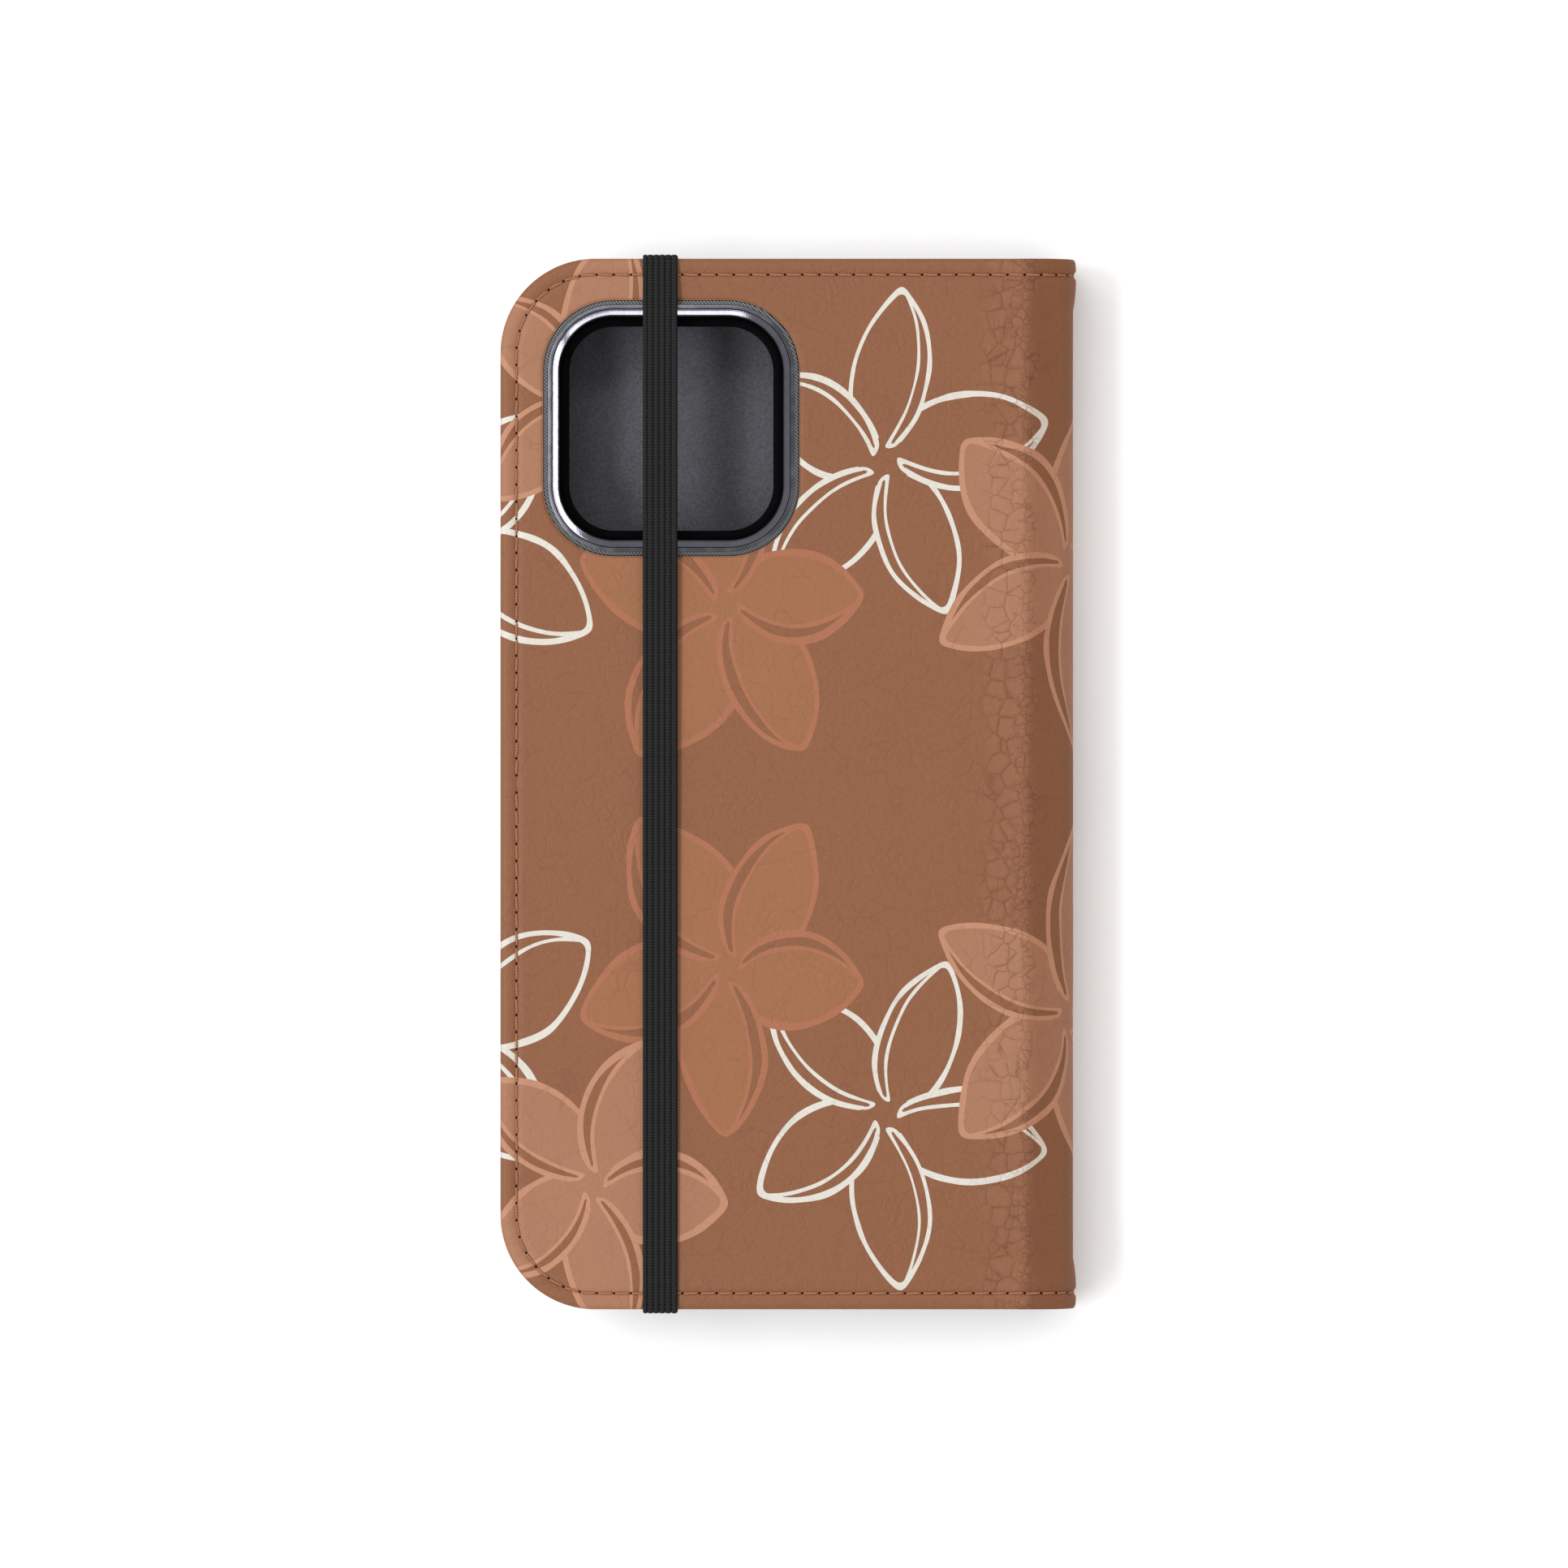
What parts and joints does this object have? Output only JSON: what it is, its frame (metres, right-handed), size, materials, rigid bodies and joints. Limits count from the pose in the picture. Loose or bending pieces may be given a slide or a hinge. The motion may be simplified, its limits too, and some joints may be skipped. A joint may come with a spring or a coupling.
{
  "type": "folio phone case",
  "caption": "Book-style leather phone case with a moulded inner shell, square camera window, folding spine, card pockets and an elastic closing band.",
  "frame": {"origin": "bottom centre of the closed case's bounding box, on the front cover's outer face", "axes": "+X towards the spine, +Y towards the phone's top edge, +Z out of the back panel, away from the front cover"},
  "size_m": [0.0848, 0.1566, 0.0182],
  "materials": {
    "leather_printed": "soft grained leather with a printed flower pattern, semi-matt",
    "lining_suedette": "matt suede-like lining",
    "stiffener_board": "matt greyboard",
    "adhesive_sheet": "bonding sheet",
    "thread_tan": "tan sewing thread",
    "shell_polymer": "black moulded polymer, fine satin",
    "bezel_metal": "grey brushed ring with a polished edge",
    "band_elastic": "black ribbed woven elastic"
  },
  "bodies": {
    "front_cover": {"front_leather": "leather_printed", "front_board": "stiffener_board", "front_lining": "lining_suedette", "cash_pocket": "lining_suedette", "card_pocket_1": "lining_suedette", "card_pocket_2": "lining_suedette", "card_pocket_3": "lining_suedette", "front_seam_thread": "thread_tan", "band_end_upper": "band_elastic", "band_end_lower": "band_elastic"},
    "spine": {"spine_leather": "leather_printed", "spine_lining": "lining_suedette", "spine_thread_upper": "thread_tan", "spine_thread_lower": "thread_tan"},
    "back_panel": {"back_leather": "leather_printed", "back_board": "stiffener_board", "back_lining": "lining_suedette", "shell_adhesive": "adhesive_sheet", "phone_shell": "shell_polymer", "camera_bezel": "bezel_metal", "back_seam_thread": "thread_tan"},
    "band": {"elastic_band": "band_elastic"},
    "volume_up": {"volume_up_button": "shell_polymer"},
    "volume_down": {"volume_down_button": "shell_polymer"},
    "side": {"side_button": "shell_polymer"}
  },
  "joints": [
    {"name": "cover_fold", "type": "hinge", "parent": "front_cover", "child": "spine", "pos_m": [0.04035, 0, 0.00205], "axis": [0, 1, 0], "range_deg": [0, 90]},
    {"name": "spine_fold", "type": "hinge", "parent": "spine", "child": "back_panel", "pos_m": [0.04035, 0, 0.01475], "axis": [0, 1, 0], "range_deg": [0, 90]},
    {"name": "band_slack", "type": "slide", "parent": "front_cover", "child": "band", "axis": [0, 0, -1], "range_m": [0, 0.0135], "deforming": ["elastic_band"]},
    {"name": "volume_up_press", "type": "slide", "parent": "back_panel", "child": "volume_up", "axis": [-1, 0, 0], "range_m": [0, 0.0004], "stiffness_N_per_m": 800},
    {"name": "volume_down_press", "type": "slide", "parent": "back_panel", "child": "volume_down", "axis": [-1, 0, 0], "range_m": [0, 0.0004], "stiffness_N_per_m": 800},
    {"name": "side_press", "type": "slide", "parent": "back_panel", "child": "side", "axis": [1, 0, 0], "range_m": [0, 0.0004], "stiffness_N_per_m": 800}
  ],
  "couplings": [
    {"joint": "spine_fold", "follows": "cover_fold", "ratio": 1},
    {"joint": "band_slack", "follows": "cover_fold", "m_per_rad": 0.0085}
  ]
}
